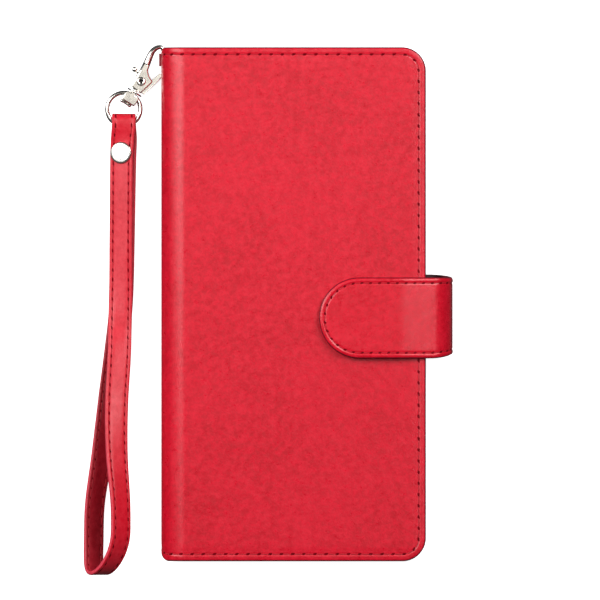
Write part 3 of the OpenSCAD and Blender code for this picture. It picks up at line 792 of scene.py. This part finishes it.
def tab():
    high = ("tab_wall", "tab_flap", (TAB_OUT, 0, TAB_TOP - TAB_BEND_R), (TAB_BEND_X, 0, TAB_TOP))
    low = ("back_cover", "tab_wall", (TAB_BEND_X, 0, TAB_BOTTOM), (TAB_OUT, 0, TAB_BOTTOM + TAB_BEND_R))
    replaced = ("tab_flap_leather", "tab_flap_lining", "tab_wall_leather", "tab_wall_lining")
    place(tab_slab("tab_upper"), high, "tab_leather", *replaced)
    place(tab_seam("tab_seam"), high, "thread", "tab_stitching")
    place(tail_slab("tab_tail"), low, "tab_leather", "tab_anchor")


def tail_slab(name):
    """The tab from mid-wall round the low bend to the back cover, with square ends."""
    width = 2 * TAB_HALF - TAB_NARROWING
    core = list(np.linspace(TAB_RINGS[-1], width - TAB_RINGS[-1], 22)[1:-1])
    across = np.array(TAB_RINGS + core + [width - d for d in TAB_RINGS[::-1]])
    distance = np.minimum(across, width - across)
    bent = list(np.linspace(TAB_LOW_BEND.wall, TAB_LOW_BEND.flat, 25))
    along = np.array([0, 2.3] + bent + [TAB_TAIL])
    s, row = np.meshgrid(along, across, indexing="ij")
    d = np.broadcast_to(distance, s.shape)
    y = TAB_MIDDLE + TAB_HALF - row + tab_lean(s)
    outer = TAB_LOW_BEND.point(s, y, tab_face_depth(d)).reshape(-1, 3)
    inner = TAB_LOW_BEND.point(s, y, TAB_T - rounded_drop(d, 0.4)).reshape(-1, 3)
    faces = grid_faces(*s.shape)
    flat_d = d.reshape(-1)
    # Faces on the rounded rim take the dark rim colour: edge paint with painted shade
    painted = [1 if flat_d[f].max() < TAB_PAINTED else 0 for f in faces]
    return slab(name, outer, inner, faces, [TAB_RED, EDGE_PAINT_AND_SHADE, TAB_LINING], painted)


# ---------------------------------------------------------------- wrist strap
STRAP_W, STRAP_T = 7.6, 1.3
STRAP_SEAM = 1.2
EYELET_GAP, CLOSED_GAP = 3.4, 1.4
LOOP_END, LOOP_REACH, LOOP_SWING = -72.4, 14.0, 2.7
LOOP_OPENS = -14
RIVET_Y = 48.7
# Down the strap: depth below the middle of the case, gap between the strands, twist in degrees, lean
# to the left, and how far the rear strand lies to the right of the front one
STRAP_SHAPE = [(-60, EYELET_GAP, 0, 0, 0), (-57, 3.2, -2, 0, 0.1), (-52, 1.5, -12, 0.3, 0.6)]
STRAP_SHAPE += [(-45, 1.4, -19, 0.5, 0.6), (-20, 1.4, -17, 0.7, 0.3), (-2, 1.7, -8, 0.9, 0)]
STRAP_SHAPE += [(15, 4.3, 7, 1.66, -0.6), (31, 6.2, 15, 3.04, -0.8)]
STRAP_SHAPE += [(47, 9.2, 27, 4.29, -0.4), (63, 13.2, 38, 5.11, 0), (76, 13.8, 40, 5.3, 0)]
STRAP_LINE = curve(STRAP_SHAPE)


def strap_value(column, y):
    """A column of the strap's shape, read off at a height y."""
    return np.interp(-y, STRAP_LINE[:, 0], STRAP_LINE[:, column])


def strand_gap(y):
    """Distance between the middles of the two strands at a height y."""
    return strap_value(1, y)


def strand_twist(y):
    """How far the two strands are turned about the strap's length at a height y."""
    return np.radians(strap_value(2, y))


def strap_middle(y):
    """Middle of the strap's two strands: it hangs from the ring's bar and lies down on the table."""
    twist = strand_twist(y)
    rest_z = (strand_gap(y) + STRAP_T) / 2 * np.cos(twist) + 3.8 * np.abs(np.sin(twist)) + 0.1
    lying = smooth_step((RIVET_Y - 5 - y) / 26)
    z = BAR_AT[2] + (rest_z - BAR_AT[2]) * lying
    return np.stack([BAR_AT[0] - strap_value(3, y), y, z], -1)


def strand(y, side):
    """Middles, outward directions and width directions along one strand."""
    twist = strand_twist(y)
    zero = 0 * y
    gap_way = np.stack([np.sin(twist), zero, np.cos(twist)], -1)
    width_way = np.stack([np.cos(twist), zero, -np.sin(twist)], -1)
    slip = strap_value(4, y) if side < 0 else zero
    apart = gap_way * (side * strand_gap(y) / 2)[:, None]
    return strap_middle(y) + apart + width_way * slip[:, None], side * gap_way, width_way


def fold(y, angles, up, reach, swing=0.0):
    """The half turn at one end of the loop, its middle swung to the left."""
    at = np.full(len(angles), y)
    twist = strand_twist(at)
    gap_way = np.stack([np.sin(twist), 0 * at, np.cos(twist)], -1)
    width_way = np.stack([np.cos(twist), 0 * at, -np.sin(twist)], -1)
    along = np.array([0, up, 0.0])
    c, s = np.cos(angles)[:, None], np.sin(angles)[:, None]
    middle = strap_middle(at) + strand_gap(at)[:, None] / 2 * c * gap_way + reach * s * along
    middle[:, 0] -= swing * s[:, 0] ** 2
    out = gap_way * c / (strand_gap(at)[:, None] / 2) + along * s / reach
    return middle, out / np.linalg.norm(out, axis=1)[:, None], width_way


def strap_rings():
    """Sections round the whole loop, from the bar down the front strand and back up the rear one."""
    down = np.linspace(BAR_AT[1], LOOP_END, 150)[:-1]
    bend = np.linspace(0, math.pi, 25)[:-1]
    parts = [
        strand(down, 1),
        fold(LOOP_END, bend, -1, LOOP_REACH, LOOP_SWING),
        strand(np.linspace(LOOP_END, BAR_AT[1], 150)[:-1], -1),
        fold(BAR_AT[1], math.pi - bend, 1, EYELET_GAP / 2),
    ]
    return [np.concatenate(p) for p in zip(*parts)]


def strap_ribbon():
    middle, out, width = strap_rings()
    from_edge = np.array([0, 0.03, 0.1, 0.2, 0.32, 0.46, 0.7, 0.9, 1.05, 1.2, 1.35, 1.5, 1.8, 2.6])
    across = np.concatenate([STRAP_W / 2 - from_edge, from_edge[::-1] - STRAP_W / 2])
    distance = STRAP_W / 2 - np.abs(across)
    groove = 0.14 * np.exp(-(((distance - STRAP_SEAM) / 0.3) ** 2))
    swell = 0.05 * np.exp(-(((distance - 0.7) / 0.3) ** 2))
    level = STRAP_T / 2 - rounded_drop(distance, 0.42) - groove + swell
    w = np.concatenate([across, across[::-1]])
    t = np.concatenate([level, -level[::-1]])
    # The strap's rims take the pale rim colour: edge paint with a painted highlight
    painted = np.concatenate([distance, distance[::-1]]) < 0.12
    points = middle[:, None] + width[:, None] * w[None, :, None] + out[:, None] * t[None, :, None]
    count, sides = len(middle), len(w)
    faces, slots = [], []
    for i in range(count):
        j = (i + 1) % count
        for k in range(sides):
            m = (k + 1) % sides
            faces.append([i * sides + k, i * sides + m, j * sides + m, j * sides + k])
            inside = 2 if k >= sides // 2 else 0
            slots.append(1 if painted[k] and painted[m] else inside)
    materials = [STRAP_RED, STRAP_EDGE_PAINT_AND_HIGHLIGHT, STRAP_INSIDE]
    return make_mesh("wrist_strap", points.reshape(-1, 3), faces, materials, slots)


def strap_seams():
    """Two seams on the outside of the whole loop, and on the inside where the loop is open."""
    middle, out, width = strap_rings()
    inside = middle[:, 1] < LOOP_OPENS
    pieces = []
    for side in (-1, 1):
        w = side * (STRAP_W / 2 - STRAP_SEAM)
        line = middle + width * w + out * (STRAP_T / 2 - 0.04)
        pieces.append(seam("strap_seam", line, out, 3.1, (0.9, 0.3), 0.17, 0.1, 0.12))
        line = (middle + width * w - out * (STRAP_T / 2 - 0.04))[inside]
        pieces.append(seam("strap_inner_seam", line, -out[inside], 3.1, (0.6, 0.24), 0.17, 0.08, 0.12))
    return pieces


def strap_snap():
    """Press stud through both strands: a domed cap in front, a flat foot behind."""
    at = np.array([RIVET_Y])
    twist = strand_twist(at)[0]
    top = (CLOSED_GAP + STRAP_T) / 2 - 0.03
    cap = [(0.02, 0.78), (2.8, 0.78), (2.9, 0.77), (3.2, 0.7), (3.42, 0.56), (3.54, 0.36), (3.56, 0.12)]
    cap += [(3.5, 0.0), (3.2, -0.06), (0.02, -0.06)]
    foot = [(0.02, 0), (2.9, 0), (3.0, -0.1), (3.0, -0.4), (2.85, -0.55), (2.0, -0.6), (0.02, -0.6)]
    parts = []
    for profile, level in ((cap, top), (foot, -top)):
        points, faces = lathe(profile, 48)
        points[:, 2] += level
        x = points[:, 0] * math.cos(twist) + points[:, 2] * math.sin(twist)
        z = points[:, 2] * math.cos(twist) - points[:, 0] * math.sin(twist)
        parts.append((strap_middle(at) + np.stack([x, points[:, 1], z], 1), faces))
    points, faces = join(parts)
    return make_mesh("strap_snap", points, faces, [SNAP], sharp=35)


def strap():
    place(strap_ribbon(), "strap", "strap_leather", "strap_leather")
    for i, piece in enumerate(strap_seams()):
        place(piece, "strap", "thread", *(["strap_stitching"] if i == 0 else []))
    place(strap_snap(), "strap", "rivet_metal", "strap_rivet")


# ---------------------------------------------------------------- clasp, swivel and ring
def clasp_plate(outline, low, high, bevel):
    points, faces = plate(outline, low, high, bevel)
    return clasp_space(points), faces


def clasp_turned(profile, way, centre=(0, 0, 0), segments=28):
    """A turned shape in the clasp's frame, with the heights of its profile along u or z."""
    points, faces = lathe(profile, segments)
    if way == "u":
        points = points[:, [0, 2, 1]]
    return clasp_space(points + np.array(centre)), faces


def hook():
    """The stem rises from the body, tapers, bends over and comes down through the leather loop."""
    x, z = HOOK_AT[0], HOOK_AT[2]
    knots = [(-49.35, 72.9, 1.3), (-48.5, 74.4, 1.3), (-47.9, 75.8, 1.24), (-46.85, 78.2, 1.12)]
    knots += [(-45.8, 80.6, 0.98), (-45.0, 81.75, 0.88), (-43.95, 82.5, 0.78), (-42.9, 82.7, 0.7)]
    knots += [(-42.15, 82.3, 0.66), (x, 81.1, 0.65), (x, 79, 0.65), (x, 77, 0.65), (x, 75.3, 0.65)]
    line = curve(knots)
    path = np.stack([line[:, 0], line[:, 1], np.full(len(line), z)], 1)
    return tube(path, line[:, 2], 24)


def clasp_body():
    """Two cheeks with the gate's slot between them, a bridge at each end, and a hollow rivet with painted
    shade in its hole.
    """
    cheek = [(-2.0, -3.0), (1.9, -3.45), (3.3, 1.85), (1.3, 2.85), (0.0, 4.1), (-0.4, 5.8)]
    cheek += [(-2.4, 5.8), (-2.1, 1.0)]
    bridge = [(1.1, 3.1), (0.0, 4.1), (-0.4, 5.8), (-2.4, 5.8), (-2.2, 3.0)]
    heel = [(-1.95, -3.35), (1.5, -3.4), (1.5, -2.6), (-1.95, -2.6)]
    rivet = [(0.62, 1.5), (0.62, 1.92), (0.8, 2.02), (1.15, 2.02), (1.42, 1.86), (1.5, 1.6)]
    parts = [
        hook(),
        clasp_plate(cheek, 0.72, 1.7, 0.4),
        clasp_plate(cheek, -1.7, -0.72, 0.4),
        clasp_plate(bridge, -1.45, 1.45, 0.3),
        clasp_plate(heel, -1.5, 1.5, 0.15),
    ]
    for way in (1, -1):
        points, faces = clasp_turned([(r, h * way) for r, h in rivet], "z")
        parts.append((points, faces))
    bright = sum(len(faces) for _, faces in parts)
    # A near-black cone in each rivet's hole, resting on the cheek: painted shade of the hollow
    for way in (1, -1):
        shade_cone = [(0.64, 1.9 * way), (0.45, 1.72 * way), (0.02, 1.71 * way)]
        parts.append(clasp_turned(shade_cone, "z", segments=20))
    points, faces = join(parts)
    slots = [0] * bright + [1] * (len(faces) - bright)
    return make_mesh("clasp_case", points, faces, [NICKEL, RECESS_SHADE], slots, sharp=50)


def clasp_gate():
    """Sprung gate: a strip along the body's side that closes the hook, and a thumb knob."""
    strip = [(0.4, -1.3), (2.1, -3.0), (2.85, -3.2), (3.9, 0.6), (4.7, 3.3), (4.95, 4.5)]
    strip += [(4.45, 5.4), (3.65, 5.35), (2.95, 3.1), (2.6, 2.2), (0.4, 1.3)]
    lip = [(2.75, -3.05), (3.0, -3.1), (4.75, 3.3), (4.9, 4.5), (4.6, 4.6), (4.4, 3.35)]
    arm = [(0, -0.5), (-3.9, 1.55), (-3.9, 2.8), (0, 1.2)]
    knob = [(0.02, -1.25), (0.5, -1.2), (0.8, -1.0), (0.88, -0.7)]
    knob += [(radius, -height) for radius, height in knob[::-1]]
    parts = [
        clasp_plate(strip, -0.5, 0.5, 0.14),
        clasp_plate(lip, -0.55, 0.95, 0.1),
        clasp_plate(arm, -0.5, 0.5, 0.14),
        clasp_turned(knob, "z", (-3.85, 2.2, 0)),
    ]
    points, faces = join(parts)
    return make_mesh("gate_strip", points, faces, [NICKEL], sharp=50)


def swivel():
    """Post and collar under the body, then two plates with a pin between them that hold the ring."""
    collar = [(0.02, -4.35), (2.35, -4.35), (2.55, -4.25), (2.6, -4.1), (2.55, -3.92)]
    collar += [(2.35, -3.85), (0.02, -3.85)]
    post = [(0.02, -3.9), (0.7, -3.9), (0.7, -3.5), (0.02, -3.5)]
    eye = [(-0.8, -4.3), (0.8, -4.3), (0.8, -4.85), (2.1, -4.95), (2.35, -5.3), (2.35, -7.5), (2.0, -7.9)]
    eye += [(-2.0, -7.9), (-2.35, -7.5), (-2.35, -5.3), (-2.1, -4.95), (-0.8, -4.85)]
    back = [(-2.2, -8.1), (2.2, -8.1), (2.2, -7.35), (-2.2, -7.35)]
    pin = np.array([(-2.0, -8.5, 0), (-1.2, -8.5, 0), (0.0, -8.5, 0), (0.9, -8.5, 0)], float)
    points, faces = tube(pin, [0.55, 0.42, 0.42, 0.6], 16)
    parts = [
        clasp_turned(collar, "u"),
        clasp_turned(post, "u"),
        clasp_plate(eye, 1.2, 2.1, 0.3),
        clasp_plate(eye, -2.1, -1.2, 0.3),
        clasp_plate(back, -1.9, 1.9, 0.2),
        (clasp_space(points), faces),
    ]
    points, faces = join(parts)
    return make_mesh("swivel_loop", points, faces, [NICKEL], sharp=50)


def ring():
    """D-shaped ring: a round bow with a straight bar for the strap."""
    low, high = box_mm("strap_ring")
    wire = 0.7
    centre_x = (low[0] + high[0]) / 2
    radius = (high[0] - low[0]) / 2 - wire
    centre_y = high[1] - radius - wire
    corner = math.asin((centre_y - BAR_AT[1]) / radius)
    turn = np.linspace(-corner, math.pi + corner, 90)
    bow = np.stack([centre_x + radius * np.cos(turn), centre_y + radius * np.sin(turn)], 1)
    bar = np.linspace(bow[-1], bow[0], 14)[1:-1]
    flat = np.concatenate([bow, bar])
    path = np.column_stack([flat, np.full(len(flat), BAR_AT[2])])
    points, faces = tube(path, wire, 20, closed=True)
    return make_mesh("ring_wire", points, faces, [NICKEL])


def hardware():
    place(clasp_body(), "clasp", "clasp_metal", "clasp_body", "clasp_rivet")
    place(clasp_gate(), "gate", "clasp_metal", "clasp_gate")
    place(swivel(), "swivel", "clasp_metal", "swivel_eye")
    place(ring(), "ring", "clasp_metal", "strap_ring")


# ---------------------------------------------------------------- seams of the pockets
def thumb_notch(across):
    """Depth of the round dip in a card pocket's opening, at a distance from its middle."""
    radius, above = 16, 10
    return np.maximum(np.sqrt(np.maximum(radius**2 - across**2, 0)) - above, 0)


def pocket_seams():
    """A seam under each pocket's opening, and down the sides of what shows of it."""
    nodes = ("cash_pocket", "card_pocket_1", "card_pocket_2", "card_pocket_3")
    boxes = [box_mm(node) for node in nodes]
    for i, (low, high) in enumerate(boxes):
        x = np.linspace(low[0] + 2, high[0] - 2, 60)
        # The note pocket, which comes first, has no thumb notch
        dip = thumb_notch(x - (low[0] + high[0]) / 2) if i > 0 else 0 * x
        lines = [np.column_stack([x, high[1] - 2 - dip])]
        if i + 1 < len(boxes):
            hidden_from = boxes[i + 1][1][1] + 1
            for side in (x[0], x[-1]):
                lines.append(np.array([(side, high[1] - 5), (side, hidden_from)]))
        else:
            corners = [(x[0], high[1] - 5), (x[0], low[1] + 2)]
            corners += [(x[-1], low[1] + 2), (x[-1], high[1] - 5)]
            lines.append(np.concatenate([np.linspace(a, b, 40) for a, b in zip(corners, corners[1:])]))
        for flat in lines:
            line = np.column_stack([flat, np.full(len(flat), low[2])])
            facing = np.tile([0, 0, -1.0], (len(flat), 1))
            place(seam("pocket_seam", line, facing, 3.2, (0.5, 0.28), 0.16, 0.02), "front_cover", "thread")


# ---------------------------------------------------------------- pieces kept from the CAD model
def kept_nodes():
    """Materials of the CAD nodes that stay as they are."""
    looks = {
        "phone_shell": SHELL,
        "front_board": BOARD,
        "back_board": BOARD,
        "keeper_plate": STEEL,
        "tab_magnet": MAGNET,
        "cash_pocket": POCKET,
        "card_pocket_1": POCKET,
        "card_pocket_2": POCKET,
        "card_pocket_3": POCKET,
        "lanyard_loop": LINING,
        "gate_spring": NICKEL,
    }
    for node, material in looks.items():
        mesh = bpy.data.objects[node].data
        mesh.materials.clear()
        mesh.materials.append(material)


# ---------------------------------------------------------------- floor, light, camera
def floor():
    """White ground. The metal and the case's sides don't see its glow, so they keep dark edges."""
    n = Nodes("pale_floor")
    n.finish(Base_Color=(0.93, 0.93, 0.93, 1), Roughness=0.8, Specular_IOR_Level=0.1)
    n.shader.inputs["Emission Color"].default_value = (1, 1, 1, 1)
    n.shader.inputs["Emission Strength"].default_value = 0.95
    mesh = bpy.data.meshes.new("floor")
    mesh.from_pydata([(-3, -3, 0), (3, -3, 0), (3, 3, 0), (-3, 3, 0)], [], [(0, 1, 2, 3)])
    mesh.materials.append(n.material)
    ground = bpy.data.objects.new("floor", mesh)
    bpy.context.scene.collection.objects.link(ground)
    ground.visible_glossy = False
    ground.visible_diffuse = False


def softbox(name, at, size, radiance, shade=(1, 1, 1)):
    """Soft light aimed at the middle of the case."""
    data = bpy.data.lights.new(name, "AREA")
    data.shape = "RECTANGLE"
    data.size, data.size_y = size
    data.energy = radiance * math.pi * size[0] * size[1]
    data.color = shade
    lamp = bpy.data.objects.new(name, data)
    lamp.location = at
    lamp.rotation_euler = (Vector(at) - Vector((0, 0, 0.01))).to_track_quat("Z", "Y").to_euler()
    lamp.visible_camera = False
    bpy.context.scene.collection.objects.link(lamp)


def studio():
    floor()
    softbox("left_box", (-0.47, 0.22, 0.5), (0.32, 0.8), 5.3)
    softbox("right_box", (0.38, 0.4, 0.66), (0.26, 0.6), 9.0)
    softbox("upper_right_box", (0.31, 0.02, 0.9), (0.07, 0.24), 6.5)
    softbox("ceiling", (0, 0.06, 1.3), (0.16, 0.2), 1.35, (1, 0.97, 0.92))
    world = bpy.data.worlds.new("room")
    world.use_nodes = True
    background = world.node_tree.nodes["Background"]
    background.inputs["Color"].default_value = (0.9, 0.92, 0.95, 1)
    background.inputs["Strength"].default_value = 0.08
    bpy.context.scene.world = world
    data = bpy.data.cameras.new("camera")
    data.lens = 1122
    data.sensor_width = 36
    data.clip_start = 0.05
    camera = bpy.data.objects.new("camera", data)
    camera.location = (0.0021, 0.00135, 6.02)
    bpy.context.scene.collection.objects.link(camera)
    bpy.context.scene.camera = camera
    bpy.context.scene.view_settings.view_transform = "Standard"


covers()
tab()
strap()
hardware()
kept_nodes()
pocket_seams()
studio()
